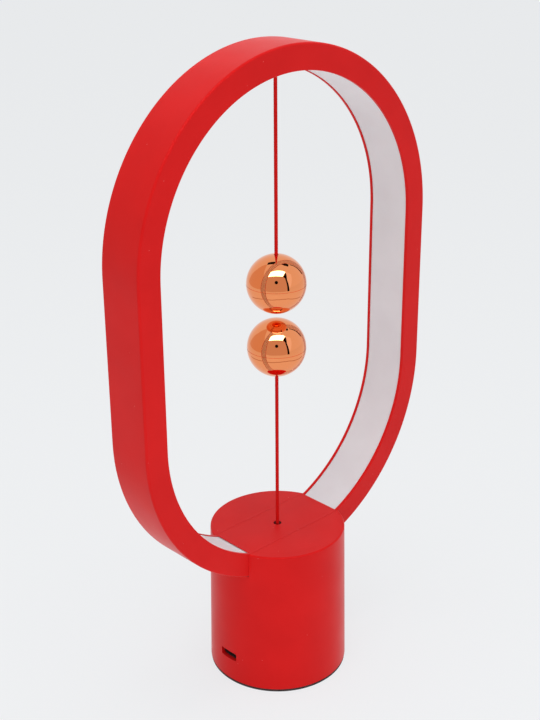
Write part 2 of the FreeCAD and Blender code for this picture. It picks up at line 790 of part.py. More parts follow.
def main():
    os.makedirs("parts", exist_ok=True)
    save_frame()
    save("diffuser", make_diffuser())
    save("led_strip", make_led_strip())
    save("led_chips", make_led_chips())
    save("string_anchor", make_string_anchor())
    save("anchor_knot", make_anchor_knot())

    save("base_shell", make_base_shell())
    save("string_plate", make_string_plate())
    save("bottom_plate", make_bottom_plate())
    save("foot_pad", make_foot_pad())
    save("ballast_weight", make_ballast_weight())
    save("base_screws", make_base_screws())

    save("circuit_board", make_circuit_board())
    save("board_screws", make_board_screws())
    save("board_components", make_board_components())
    save("port_surround", make_port_surround())
    save("charging_socket", make_charging_socket())
    save("socket_tongue", make_socket_tongue())

    save("switch_carrier", make_switch_carrier())
    save("frame_screws", make_frame_screws())
    save("carrier_screws", make_carrier_screws())
    save("switch_cap", make_switch_cap())
    save("switch_plunger", make_switch_plunger())
    save("contact_ring", make_contact_ring())
    save("contact_blades", make_contact_blades())
    save("return_spring", make_return_spring())
    save("led_leads", make_led_leads())
    save("switch_leads", make_switch_leads())

    save_ball("upper_ball", upper_ball_z, magnet_up=False)
    save_ball("lower_ball", lower_ball_z, magnet_up=True)
    save_cords()
    print(f"bends {upper_bend_z:.3f} {lower_bend_z:.3f}, fold {lower_fold_z:.3f}, spring {switch_roof_z:.3f}")
    print(f"balls {lower_ball_z:.3f} {upper_ball_z:.3f}, crown {frame_top_z:.3f}")


main()
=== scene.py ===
import json
from math import acos, asin, cos, degrees, pi, radians, sin, sqrt

import bmesh
import bpy
from mathutils import Matrix, Vector


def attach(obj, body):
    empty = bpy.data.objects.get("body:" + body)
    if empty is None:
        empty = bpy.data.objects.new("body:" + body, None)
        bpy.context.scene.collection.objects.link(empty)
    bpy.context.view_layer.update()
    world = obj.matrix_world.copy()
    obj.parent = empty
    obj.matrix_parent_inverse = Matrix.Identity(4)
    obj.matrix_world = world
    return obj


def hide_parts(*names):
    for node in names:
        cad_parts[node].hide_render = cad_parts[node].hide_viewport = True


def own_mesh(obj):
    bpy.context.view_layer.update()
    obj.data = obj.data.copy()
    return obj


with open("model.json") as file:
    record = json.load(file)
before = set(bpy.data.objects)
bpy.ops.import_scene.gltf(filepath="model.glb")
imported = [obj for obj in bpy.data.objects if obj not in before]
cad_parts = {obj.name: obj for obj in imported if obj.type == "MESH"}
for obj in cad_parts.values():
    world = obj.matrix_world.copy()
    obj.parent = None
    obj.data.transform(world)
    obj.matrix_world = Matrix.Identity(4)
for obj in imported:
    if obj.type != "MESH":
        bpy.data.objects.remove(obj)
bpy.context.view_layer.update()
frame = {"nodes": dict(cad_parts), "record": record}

# A magnetic balance lamp. Lengths below are in millimetres and are turned into metres as they are used.
MM = 0.001

# ---- Sizes, as in the part's source ----
BASE_RADIUS = 41.7
BASE_TOP_RADIUS = 40.1
BASE_TOP = 91.7
BASE_WALL = 2.4
BASE_CEILING = 89.1
BASE_ROUND = 1.0
RIM_CHAMFER = 0.4
PLATE_Z = 1.4
PLATE_TOP = 3.9
RING_INNER = 92.5
RING_OUTER = 106.7
CHANNEL = 104.3
HALF_DEPTH = 14.8
CHANNEL_HALF = 13.0
RING_ROUND = 1.3
LIP_ROUND = 0.4
LOW_CENTRE = 176.9
HIGH_CENTRE = 267.9
SLOT_GAP = 0.1
BAND_FACE = 92.9
BAND_BACK = 94.4
BAND_HALF = 12.9
BAND_GAP = 26.0
BALL_RADIUS = 16.8
BALL_INNER = 15.3
SEAM = 0.10
SEAM_DEPTH = 0.45
MAGNET_HOLE = 7.1
MAGNET_SEAT = 8.4
MAGNET_FLOOR = 3.3
MAGNET_RIM = 8.3
CORD_RADIUS = 1.0
CORD_HOLE = 1.3
BASE_HOLE = 2.4
UPPER_BEND = 359.5
LOWER_BEND = 93.0
LOWER_FOLD = 136.0
UPPER_BALL = 243.0
LOWER_BALL = 205.2
KNOT_SEAT = 15.0
ANCHOR_TOP = 365.9
PLUNGER_CORD_TOP = 84.7
SCREW_X = 14.0
LEAD_X = 20.0
BASE_SCREW = (BASE_RADIUS - 8.5) / sqrt(2)
POST_Y = 27.0
SCREW_HOLE = 1.25
BASE_BOSS, BASE_BOSS_HEIGHT = 3.6, 12.0
POST_RADIUS, POST_LOW, POST_HOLE_TOP = 4.0, 61.5, 70.5
PLATE_BOSS, PLATE_BOSS_LOW, PLATE_BOSS_HIGH, PLATE_HOLE_TOP = 3.2, 73.5, 86.2, 81.7
CORD_PASSAGE, LEAD_PASSAGE, SCREW_PASSAGE = 5.0, 2.2, 1.3
BAND_HOLE, BAND_EDGE = 1.6, 0.12
PORT_WIDTH, PORT_HEIGHT, PORT_CENTRE, PORT_CORNER = 12.9, 5.1, 17.9, 1.2
PLATE_SEAM, PLATE_BEVEL = 0.03, 0.07
# Depth of the dark sleeve that paints shade into the cord's hole, and how far below the base's top it stops
SHADE_SLEEVE_DEPTH, SHADE_SLEEVE_RECESS = 6.0, 0.25

FRAME_NODES = ("frame_lower_left", "frame_lower_right", "frame_upper_left", "frame_upper_right")

X, Y, Z = Vector((1, 0, 0)), Vector((0, 1, 0)), Vector((0, 0, 1))
scene = bpy.context.scene


# ------------------------------------------------------------------ the camera
AZIMUTH, ELEVATION, ROLL = radians(-43.432), radians(22.809), radians(-0.449)
DISTANCE, TARGET = 0.701357, Vector((-0.007386, 0, 0.199019))
FOCAL_PIXELS, IMAGE_HEIGHT, IMAGE_WIDTH = 1248.3, 720, 540
CENTRE_PIXEL = (267.20, 360.67)

back = Vector((sin(AZIMUTH) * cos(ELEVATION), -cos(AZIMUTH) * cos(ELEVATION), sin(ELEVATION)))
level = Z.cross(back).normalized()
upright = back.cross(level)
right = level * cos(ROLL) + upright * sin(ROLL)
up = upright * cos(ROLL) - level * sin(ROLL)
eye = TARGET + back * DISTANCE

lens = bpy.data.cameras.new("Camera")
camera = bpy.data.objects.new("Camera", lens)
scene.collection.objects.link(camera)
camera.matrix_world = Matrix((right, up, back)).transposed().to_4x4()
camera.matrix_world.translation = eye
lens.sensor_width = 36
lens.lens = FOCAL_PIXELS * 36 / IMAGE_HEIGHT
lens.shift_x = (IMAGE_WIDTH / 2 - CENTRE_PIXEL[0]) / IMAGE_HEIGHT
lens.shift_y = (CENTRE_PIXEL[1] - IMAGE_HEIGHT / 2) / IMAGE_HEIGHT
lens.clip_start, lens.clip_end = 0.01, 60
scene.camera = camera
scene.view_settings.view_transform = "Standard"


# ----------------------------------------------------------------- mesh making


def new_object(name, mesh):
    piece = bpy.data.objects.new(name, mesh)
    scene.collection.objects.link(piece)
    return piece


def solid(name, points, faces):
    """A closed mesh from points in millimetres, with its faces turned outwards."""
    mesh = bpy.data.meshes.new(name)
    mesh.from_pydata([Vector(p) * MM for p in points], [], faces)
    shape = bmesh.new()
    shape.from_mesh(mesh)
    bmesh.ops.recalc_face_normals(shape, faces=shape.faces)
    shape.to_mesh(mesh)
    shape.free()
    return new_object(name, mesh)


def grid_faces(rows, columns, wrap_rows, wrap_columns):
    faces = []
    for i in range(rows if wrap_rows else rows - 1):
        for j in range(columns if wrap_columns else columns - 1):
            a, b = i, (i + 1) % rows
            c, d = j, (j + 1) % columns
            faces.append((a * columns + c, b * columns + c, b * columns + d, a * columns + d))
    return faces


def arc(cx, cy, radius, start, end, steps):
    """Points of an arc in a profile's plane, both ends included, angles in degrees."""
    turns = [radians(start + (end - start) * k / steps) for k in range(steps + 1)]
    return [(cx + radius * cos(t), cy + radius * sin(t)) for t in turns]


def lathe(name, profile, steps=192, centre=(0.0, 0.0)):
    """Turns a profile of (radius, z) points round a vertical axis. A radius of 0 makes a pole."""
    points, rings = [], []
    for radius, z in profile:
        if radius < 1e-6:
            rings.append([len(points)])
            points.append((centre[0], centre[1], z))
            continue
        rings.append(list(range(len(points), len(points) + steps)))
        for k in range(steps):
            turn = 2 * pi * k / steps
            points.append((centre[0] + radius * cos(turn), centre[1] + radius * sin(turn), z))
    faces = []
    for a, b in zip(rings, rings[1:] + rings[:1]):
        if len(a) == 1 and len(b) == 1:
            continue
        for k in range(steps):
            n = (k + 1) % steps
            if len(a) == 1:
                faces.append((a[0], b[k], b[n]))
            elif len(b) == 1:
                faces.append((a[k], b[0], a[n]))
            else:
                faces.append((a[k], b[k], b[n], a[n]))
    return solid(name, points, faces)


def cylinder(radius, low, high, x=0.0, y=0.0, steps=64):
    return lathe("cutter", [(0, low), (radius, low), (radius, high), (0, high)], steps, (x, y))


def prism(outline, low, high):
    """A prism along Y over an outline of (x, z) points."""
    count = len(outline)
    points = [(x, low, z) for x, z in outline] + [(x, high, z) for x, z in outline]
    faces = [tuple(range(count)), tuple(reversed(range(count, 2 * count)))]
    faces += [(k, (k + 1) % count, count + (k + 1) % count, count + k) for k in range(count)]
    return solid("cutter", points, faces)


def stadium_outline(radius, steps=120):
    top = arc(0, HIGH_CENTRE, radius, 0, 180, steps)
    return top + arc(0, LOW_CENTRE, radius, 180, 360, steps)


def rounded_bar(x0, x1, width, height, z, corner):
    """A bar along X with its four long edges rounded."""
    outline = []
    for sx, sz, start in ((1, 1, 0), (-1, 1, 90), (-1, -1, 180), (1, -1, 270)):
        cx, cz = sx * (width / 2 - corner), z + sz * (height / 2 - corner)
        outline += arc(cx, cz, corner, start, start + 90, 8)
    count = len(outline)
    points = [(x0, a, b) for a, b in outline] + [(x1, a, b) for a, b in outline]
    faces = [tuple(range(count)), tuple(reversed(range(count, 2 * count)))]
    faces += [(k, (k + 1) % count, count + (k + 1) % count, count + k) for k in range(count)]
    return solid("cutter", points, faces)


def combine(piece, *others, operation="DIFFERENCE"):
    """Cuts the other shapes from the piece, or joins them to it, and removes them."""
    for other in others:
        change = piece.modifiers.new("change", "BOOLEAN")
        change.object, change.operation, change.solver = other, operation, "EXACT"
        bpy.context.view_layer.update()
        graph = bpy.context.evaluated_depsgraph_get()
        made = bpy.data.meshes.new_from_object(piece.evaluated_get(graph))
        piece.modifiers.clear()
        piece.data = made
        bpy.data.objects.remove(other)
    return piece


def smooth(piece, surfaces, match=0.85):
    """Gives each corner of a face the exact normal of the surface that the face lies on."""
    mesh = piece.data
    mesh.polygons.foreach_set("use_smooth", [True] * len(mesh.polygons))
    known = [surfaces(v.co / MM) for v in mesh.vertices]
    normals = [None] * len(mesh.loops)
    for face in mesh.polygons:
        for loop in face.loop_indices:
            best, score = face.normal, match
            for normal in known[mesh.loops[loop].vertex_index]:
                fit = normal.dot(face.normal)
                if fit > score:
                    best, score = normal, fit
            normals[loop] = best
    mesh.normals_split_custom_set(normals)
    return piece


def install(piece, body, slot, *nodes):
    """The piece takes the place of those nodes and moves with their body."""
    piece.name = piece.data.name = piece.name.replace(".001", "")
    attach(piece, body)
    if nodes:
        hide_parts(*nodes)
    return piece


# ------------------------------------------------------------------- materials


class Shader:
    """A principled material with a few helpers for its procedural detail."""

    def __init__(self, name, **values):
        self.material = bpy.data.materials.new(name)
        self.material.use_nodes = True
        self.tree = self.material.node_tree
        self.surface = self.tree.nodes["Principled BSDF"]
        for key, value in values.items():
            self.surface.inputs[key.replace("_", " ")].default_value = value
        self.place = self.tree.nodes.new("ShaderNodeTexCoord").outputs["Object"]

    def node(self, kind, **settings):
        made = self.tree.nodes.new(kind)
        for key, value in settings.items():
            setattr(made, key, value)
        return made

    def feed(self, source, target):
        self.tree.links.new(source, target)

    def noise(self, scale, detail=3.0, roughness=0.5):
        made = self.node("ShaderNodeTexNoise")
        made.inputs["Scale"].default_value = scale
        made.inputs["Detail"].default_value = detail
        made.inputs["Roughness"].default_value = roughness
        self.feed(self.place, made.inputs["Vector"])
        return made.outputs["Fac"]

    def range(self, source, low, high, to_low, to_high):
        made = self.node("ShaderNodeMapRange")
        for key, value in zip(("From Min", "From Max", "To Min", "To Max"), (low, high, to_low, to_high)):
            made.inputs[key].default_value = value
        self.feed(source, made.inputs["Value"])
        return made.outputs["Result"]

    def blend(self, share, first, second):
        """Mixes two colours, each a tuple or another node's output."""
        made = self.node("ShaderNodeMix", data_type="RGBA")
        self.feed(share, made.inputs["Factor"])
        for socket, value in ((made.inputs[6], first), (made.inputs[7], second)):
            if isinstance(value, tuple):
                socket.default_value = (*value, 1.0)
            else:
                self.feed(value, socket)
        return made.outputs[2]

    def bump(self, height, strength, distance, under=None):
        made = self.node("ShaderNodeBump")
        made.inputs["Strength"].default_value = strength
        made.inputs["Distance"].default_value = distance
        self.feed(height, made.inputs["Height"])
        if under is not None:
            self.feed(under, made.inputs["Normal"])
        return made.outputs["Normal"]

    def specks(self, scale, size):
        """1 inside sparse tiny dots, 0 elsewhere."""
        cells = self.node("ShaderNodeTexVoronoi", voronoi_dimensions="3D", feature="F1")
        cells.inputs["Scale"].default_value = scale
        self.feed(self.place, cells.inputs["Vector"])
        return self.range(cells.outputs["Distance"], size * 0.6, size, 1.0, 0.0)

    def set(self, **sources):
        for key, source in sources.items():
            self.feed(source, self.surface.inputs[key.replace("_", " ")])
        return self


def soft_touch_red():
    """Satin moulded plastic with a soft-touch coat: fine grain, faint mottling and a few specks of dust."""
    made = Shader("red_shell", Specular_IOR_Level=0.13, Sheen_Weight=0.24, Sheen_Roughness=0.30)
    made.surface.inputs["Sheen Tint"].default_value = (1.0, 0.92, 0.92, 1.0)
    mottle = made.range(made.noise(34.0, 4.0), 0.35, 0.65, 0.0, 1.0)
    body = made.blend(mottle, (0.645, 0.0060, 0.0062), (0.690, 0.0074, 0.0074))
    dust = made.specks(150.0, 0.030)
    made.set(Base_Color=made.blend(dust, body, (0.85, 0.32, 0.30)))
    made.set(Roughness=made.range(made.noise(60.0, 3.0), 0.3, 0.7, 0.40, 0.47))
    grain = made.bump(made.noise(5200.0, 2.0), 0.22, 0.00003)
    made.set(Normal=made.bump(made.noise(260.0, 3.0), 0.05, 0.0002, grain))
    return made.material


def plating():
    """Bright copper plating with the slightest orange peel."""
    made = Shader("copper_mirror", Metallic=1.0, Coat_Weight=0.22, Coat_Roughness=0.02, Coat_IOR=1.5)
    tarnish = made.range(made.noise(55.0, 4.0), 0.3, 0.7, 0.0, 1.0)
    made.set(Base_Color=made.blend(tarnish, (0.935, 0.315, 0.118), (0.920, 0.300, 0.108)))
    made.set(Roughness=made.range(made.noise(420.0, 3.0), 0.3, 0.7, 0.010, 0.030))
    made.set(Normal=made.bump(made.noise(90.0, 2.0), 0.01, 0.0002))
    return made.material


def milky_band():
    """Milk-white diffuser with a soft glow that varies a little from place to place."""
    made = Shader("light_band", Roughness=0.38, Specular_IOR_Level=0.3)
    made.surface.inputs["Subsurface Weight"].default_value = 0.12
    made.surface.inputs["Subsurface Radius"].default_value = (0.004, 0.003, 0.0035)
    made.surface.inputs["Subsurface Scale"].default_value = 1.0
    cloud = made.range(made.noise(45.0, 3.0), 0.35, 0.65, 0.0, 1.0)
    made.set(Base_Color=made.blend(cloud, (0.685, 0.648, 0.672), (0.715, 0.683, 0.707)))
    made.surface.inputs["Emission Color"].default_value = (1.0, 0.94, 0.97, 1.0)
    made.set(Emission_Strength=made.range(made.noise(30.0, 1.0), 0.3, 0.7, 0.04, 0.06))
    made.set(Normal=made.bump(made.noise(2600.0, 2.0), 0.12, 0.00003))
    return made.material


def cord_red():
    """Fine braided nylon."""
    made = Shader("red_cord", Roughness=0.62, Specular_IOR_Level=0.1, Sheen_Weight=0.02)
    made.surface.inputs["Sheen Tint"].default_value = (1.0, 0.55, 0.5, 1.0)
    fibre = made.range(made.noise(2400.0, 3.0), 0.3, 0.7, 0.0, 1.0)
    made.set(Base_Color=made.blend(fibre, (0.52, 0.0030, 0.0030), (0.68, 0.0060, 0.0045)))
    made.set(Normal=made.bump(made.noise(6000.0, 2.0), 0.35, 0.00006))
    return made.material


def moulded(name, dark, light, rough, grain=3000.0):
    """Plain moulded plastic, rubber or board: faint mottling, fine grain."""
    made = Shader(name, Specular_IOR_Level=0.4)
    made.set(Base_Color=made.blend(made.range(made.noise(180.0, 4.0), 0.35, 0.65, 0.0, 1.0), dark, light))
    made.set(Roughness=made.range(made.noise(420.0, 3.0), 0.3, 0.7, rough - 0.06, rough + 0.06))
    made.set(Normal=made.bump(made.noise(grain, 2.0), 0.25, 0.00004))
    return made.material


def worked_metal(name, dark, light, rough):
    """Machined or drawn metal with fine marks and uneven polish."""
    made = Shader(name, Metallic=1.0)
    stretched = made.node("ShaderNodeMapping")
    stretched.inputs["Scale"].default_value = (1.0, 1.0, 9.0)
    made.feed(made.place, stretched.inputs["Vector"])
    made.place = stretched.outputs["Vector"]
    made.set(Base_Color=made.blend(made.range(made.noise(300.0, 4.0), 0.3, 0.7, 0.0, 1.0), dark, light))
    made.set(Roughness=made.range(made.noise(900.0, 4.0), 0.3, 0.7, rough - 0.08, rough + 0.1))
    made.set(Normal=made.bump(made.noise(1500.0, 3.0), 0.15, 0.00003))
    return made.material


MATERIALS = {
    "red_shell": soft_touch_red(),
    "copper_mirror": plating(),
    "light_band": milky_band(),
    "red_cord": cord_red(),
    "strip_film": moulded("strip_film", (0.70, 0.69, 0.66), (0.78, 0.77, 0.74), 0.4),
    "led": moulded("led", (0.80, 0.62, 0.16), (0.88, 0.72, 0.24), 0.25),
    # The inner plastic's red is much darker than the plastic's own, as painted shade in the cord's hole and other
    # recesses
    "inner_plastic": moulded("inner_plastic", (0.085, 0.003, 0.003), (0.120, 0.004, 0.004), 0.6),
    "black_plastic": moulded("black_plastic", (0.010, 0.010, 0.011), (0.020, 0.019, 0.020), 0.45),
    "soft_pad": moulded("soft_pad", (0.030, 0.020, 0.020), (0.048, 0.034, 0.034), 0.85, 1400.0),
    "ballast": worked_metal("ballast", (0.20, 0.20, 0.21), (0.32, 0.31, 0.31), 0.5),
    "steel": worked_metal("steel", (0.50, 0.50, 0.51), (0.64, 0.63, 0.62), 0.3),
    "board": moulded("board", (0.012, 0.090, 0.030), (0.020, 0.125, 0.045), 0.35),
    "contact_brass": worked_metal("contact_brass", (0.70, 0.46, 0.15), (0.82, 0.58, 0.22), 0.25),
    "lead_cover": moulded("lead_cover", (0.50, 0.02, 0.02), (0.62, 0.03, 0.03), 0.4),
    "magnet_plate": worked_metal("magnet_plate", (0.52, 0.52, 0.54), (0.66, 0.66, 0.68), 0.22),
}

for row in frame["record"]["subparts"]:
    node = frame["nodes"][row["node"]]
    node.data.materials.clear()
    node.data.materials.append(MATERIALS[row["material_slot"]])


def dress(piece, slot):
    piece.data.materials.clear()
    piece.data.materials.append(MATERIALS[slot])
    return piece


# ------------------------------------------------------------------- the frame


def on_ring(point):
    """(outward direction, distance from the arcs' centre line) of a point of the frame."""
    centre = min(max(point.z, LOW_CENTRE), HIGH_CENTRE)
    reach = Vector((point.x, 0, point.z - centre))
    return reach.normalized(), reach.length


def ring_stations(steps=120, straight=16):
    """(centre height, outward direction) all the way round the frame."""
    rows = [(HIGH_CENTRE, radians(180 * k / steps)) for k in range(steps + 1)]
    gap = (HIGH_CENTRE - LOW_CENTRE) / straight
    rows += [(HIGH_CENTRE - gap * k, pi) for k in range(1, straight)]
    rows += [(LOW_CENTRE, pi + radians(180 * k / steps)) for k in range(steps + 1)]
    rows += [(LOW_CENTRE + gap * k, 0.0) for k in range(1, straight)]
    return [(z, Vector((cos(turn), 0, sin(turn)))) for z, turn in rows]


def sweep(name, profile, stations, closed):
    """Carries a closed profile of (distance, y) points along the stations."""
    points = [
        (n.x * distance, y, z + n.z * distance) for z, n in stations for distance, y in profile
    ]
    count = len(profile)
    faces = grid_faces(len(stations), count, closed, True)
    if not closed:
        last = (len(stations) - 1) * count
        faces += [tuple(range(count)), tuple(reversed(range(last, last + count)))]
    return solid(name, points, faces)


def frame_normals(point):
    n, r = on_ring(point)
    y = Y * (1 if point.y > 0 else -1)
    depth = abs(point.y)
    found = []
    for distance in (RING_OUTER, RING_INNER, CHANNEL):
        if abs(r - distance) < 0.02:
            found += [n, -n]
    for distance in (HALF_DEPTH, CHANNEL_HALF):
        if abs(depth - distance) < 0.02:
            found += [y, -y]
    edge = (r - RING_OUTER + RING_ROUND, depth - HALF_DEPTH + RING_ROUND)
    if edge[0] > -0.02 and edge[1] > -0.02:
        found.append((n * edge[0] + y * edge[1]).normalized())
    lip = (r - RING_INNER - LIP_ROUND, depth - HALF_DEPTH + LIP_ROUND)
    if lip[0] < 0.02 and lip[1] > -0.02:
        found.append((n * lip[0] + y * lip[1]).normalized())
    return found


def make_frame():
    outer, inner, half = RING_OUTER - RING_ROUND, RING_INNER + LIP_ROUND, HALF_DEPTH
    side = arc(outer, half - RING_ROUND, RING_ROUND, 90, 0, 8)
    profile = [(inner, half), (inner + 4.5, half), (outer - 3.0, half)] + side
    profile += [(RING_OUTER, half - 6.0), (RING_OUTER, 0.0), (RING_OUTER, 6.0 - half)]
    profile += [(r, -y) for r, y in reversed(side)]
    profile += [(outer - 3.0, -half), (inner + 4.5, -half), (inner, -half)]
    lip = arc(inner, LIP_ROUND - half, LIP_ROUND, 270, 180, 4)
    profile += lip[1:] + [(RING_INNER, -CHANNEL_HALF), (CHANNEL, -CHANNEL_HALF)]
    profile += [(CHANNEL, CHANNEL_HALF), (RING_INNER, CHANNEL_HALF)]
    profile += [(r, -y) for r, y in reversed(lip[1:])]
    ring = sweep("frame_ring", profile, ring_stations(), True)
    low, high = LOW_CENTRE - RING_OUTER - 2, LOW_CENTRE - RING_INNER
    holes = [cylinder(CORD_PASSAGE, low, high, 0.0), cylinder(LEAD_PASSAGE, low, high, LEAD_X)]
    holes += [cylinder(SCREW_PASSAGE, low, high, side * SCREW_X) for side in (-1, 1)]
    combine(ring, *holes)
    smooth(ring, frame_normals)
    return install(dress(ring, "red_shell"), "lamp_body", "red_shell", *FRAME_NODES)


def band_normals(point):
    n, r = on_ring(point)
    found = []
    for distance in (BAND_FACE, BAND_BACK):
        if abs(r - distance) < 0.03:
            found += [n, -n]
    if abs(abs(point.y) - BAND_HALF) < 0.02:
        found.append(Y * (1 if point.y > 0 else -1))
    return found


def make_band():
    """The diffuser, open where the base hides it."""
    stop = degrees(acos(BAND_GAP / BAND_BACK))
    stations, steps = [], 220
    for k in range(steps + 1):
        turn = radians(-stop + (180 + 2 * stop) * k / steps)
        centre = HIGH_CENTRE if sin(turn) > 0 else LOW_CENTRE
        stations.append((centre, Vector((cos(turn), 0, sin(turn)))))
    profile = [(BAND_FACE, -BAND_HALF + BAND_EDGE), (BAND_FACE, -6.0), (BAND_FACE, 0.0), (BAND_FACE, 6.0)]
    profile += [(BAND_FACE, BAND_HALF - BAND_EDGE), (BAND_FACE + BAND_EDGE, BAND_HALF)]
    profile += [(BAND_BACK, BAND_HALF), (BAND_BACK, -BAND_HALF), (BAND_FACE + BAND_EDGE, -BAND_HALF)]
    band = sweep("diffuser_band", profile, stations, False)
    combine(band, cylinder(BAND_HOLE, HIGH_CENTRE + BAND_FACE - 4, HIGH_CENTRE + BAND_BACK + 4))
    smooth(band, band_normals)
    return install(dress(band, "light_band"), "lamp_body", "light_band", "diffuser")


# -------------------------------------------------------------------- the base


BASE_SLOPE = (BASE_RADIUS - BASE_TOP_RADIUS) / (BASE_TOP - PLATE_Z)


def side_radius(z):
    return BASE_RADIUS - BASE_SLOPE * (z - PLATE_Z)


def base_normals(point):
    flat = Vector((point.x, point.y, 0))
    out, r = flat.normalized(), flat.length
    found = []
    side = (out + Z * BASE_SLOPE).normalized()
    if abs(r - side_radius(point.z)) < 0.02:
        found.append(side)
    if abs(r - side_radius(point.z) + BASE_WALL) < 0.02:
        found.append(-side)
    if abs(point.z - BASE_TOP) < 0.01:
        found.append(Z)
    edge = (r - BASE_TOP_RADIUS + BASE_ROUND, point.z - BASE_TOP + BASE_ROUND)
    if edge[0] > -0.02 and edge[1] > -0.02:
        found.append((out * edge[0] + Z * edge[1]).normalized())
    return found


def make_base():
    """The cup, with the slot that the frame passes through, the port and the bosses inside."""
    profile = [(0, BASE_TOP), (20, BASE_TOP), (36, BASE_TOP)]
    profile += arc(BASE_TOP_RADIUS - BASE_ROUND, BASE_TOP - BASE_ROUND, BASE_ROUND, 90, 0, 8)
    profile += [(side_radius(z), z) for z in (80, 66, 52, 38, 24, 10, PLATE_Z + RIM_CHAMFER)]
    profile += [(BASE_RADIUS - RIM_CHAMFER, PLATE_Z), (BASE_RADIUS - BASE_WALL, PLATE_Z)]
    profile += [(side_radius(BASE_CEILING) - BASE_WALL, BASE_CEILING), (0, BASE_CEILING)]
    cup = lathe("base_cup", profile, 240)
    top = PLATE_TOP + BASE_BOSS_HEIGHT
    for sx, sy in ((-1, -1), (-1, 1), (1, -1), (1, 1)):
        x, y = sx * BASE_SCREW, sy * BASE_SCREW
        combine(cup, cylinder(BASE_BOSS, PLATE_TOP, top, x, y), operation="UNION")
        combine(cup, cylinder(SCREW_HOLE, PLATE_TOP - 1, top - 1, x, y))
    for side in (-1, 1):
        combine(cup, cylinder(POST_RADIUS, POST_LOW, BASE_CEILING + 1, 0, side * POST_Y), operation="UNION")
        combine(cup, cylinder(SCREW_HOLE, POST_LOW - 1, POST_HOLE_TOP, 0, side * POST_Y))
    half_slot = HALF_DEPTH + SLOT_GAP
    combine(cup, prism(stadium_outline(RING_OUTER + SLOT_GAP), -half_slot, half_slot))
    combine(cup, rounded_bar(-BASE_RADIUS - 1, -30, PORT_WIDTH, PORT_HEIGHT, PORT_CENTRE, PORT_CORNER))
    smooth(cup, base_normals)
    return install(dress(cup, "red_shell"), "lamp_body", "red_shell", "base_shell")


def make_top_plate():
    """The middle of the base's top. Its underside follows the frame, and the cord comes through it."""
    reach = sqrt(RING_INNER**2 - (LOW_CENTRE - BASE_TOP) ** 2)
    steps = 48
    low = [-reach + 2 * reach * k / steps for k in range(steps + 1)]
    outline = [(x, LOW_CENTRE - sqrt(RING_INNER**2 - x * x)) for x in low]
    outline = outline[:-1] + [(reach, BASE_TOP)] + [(x, BASE_TOP) for x in (20.0, 8.0, -8.0, -20.0)]
    plate = prism(outline, PLATE_SEAM - HALF_DEPTH, HALF_DEPTH - PLATE_SEAM)
    plate.name = plate.data.name = "cord_plate"
    for side in (-1, 1):
        boss = cylinder(PLATE_BOSS, PLATE_BOSS_LOW, PLATE_BOSS_HIGH, side * SCREW_X)
        combine(plate, boss, operation="UNION")
        combine(plate, cylinder(SCREW_HOLE, PLATE_BOSS_LOW - 1.3, PLATE_HOLE_TOP, side * SCREW_X))
    combine(plate, cylinder(BASE_HOLE, 70, BASE_TOP + 2, steps=96))
    edge = plate.modifiers.new("edge", "BEVEL")
    edge.width, edge.segments = PLATE_BEVEL * MM, 2
    edge.limit_method, edge.angle_limit = "ANGLE", radians(60)
    return install(dress(plate, "red_shell"), "lamp_body", "red_shell", "string_plate")


def make_hole_shade_sleeve():
    """A thin dark sleeve in the cord's hole, put there as painted shade: it darkens the hole where shade falls.
    """
    low, high = BASE_TOP - SHADE_SLEEVE_DEPTH, BASE_TOP - SHADE_SLEEVE_RECESS
    inner, outer = BASE_HOLE - 0.12, BASE_HOLE + 0.02
    sleeve = lathe("cord_hole_shade_sleeve", [(inner, low), (inner, high), (outer, high), (outer, low)], 96)
    sleeve.data.polygons.foreach_set("use_smooth", [True] * len(sleeve.data.polygons))
    return install(dress(sleeve, "inner_plastic"), "lamp_body", "inner_plastic")


def make_pad_shade_edge():
    """The pad's soft edge, reaching out a little under the base's rim. It is partly the real dark pad and partly
    painted shade: its dark ring stands in for the shade under the rim.
    """
    inner, outer, high = BASE_RADIUS - 1.1, BASE_RADIUS - 0.25, PLATE_Z - 0.02
    corner = [(outer - 0.15, 0.01), (outer, 0.16), (outer, high)]
    edge = lathe("foot_pad_shade_edge", [(inner, 0.01)] + corner + [(inner, high)], 240)
    return install(dress(edge, "soft_pad"), "lamp_body", "soft_pad")


# ------------------------------------------------------------------- the balls


def ball_normals(centre):
    def found(point):
        reach = point - Vector((0, 0, centre))
        distance, out = reach.length, reach.normalized()
        if abs(distance - BALL_RADIUS) < 0.01:
            return [out]
        if abs(distance - BALL_INNER) < 0.01:
            return [-out]
        return []

    return found


def half_profile(side, top_hole):
    """(radius, height) points of one half's outer and inner skin, from the pole to the seam and back."""
    steps = 72
    start = asin(top_hole / BALL_RADIUS) if top_hole else 0.0
    stop = pi / 2 - SEAM / BALL_RADIUS
    outer = [start + (stop - start) * k / steps for k in range(steps + 1)]
    points = [(BALL_RADIUS * sin(t), side * BALL_RADIUS * cos(t)) for t in outer]
    points += [(BALL_RADIUS - SEAM_DEPTH, side * SEAM), (BALL_RADIUS - SEAM_DEPTH, 0.0)]
    start = asin(top_hole / BALL_INNER) if top_hole else 0.0
    inner = [pi / 2 - (pi / 2 - start) * k / 40 for k in range(41)]
    return points + [(BALL_INNER * sin(t), side * BALL_INNER * cos(t)) for t in inner]


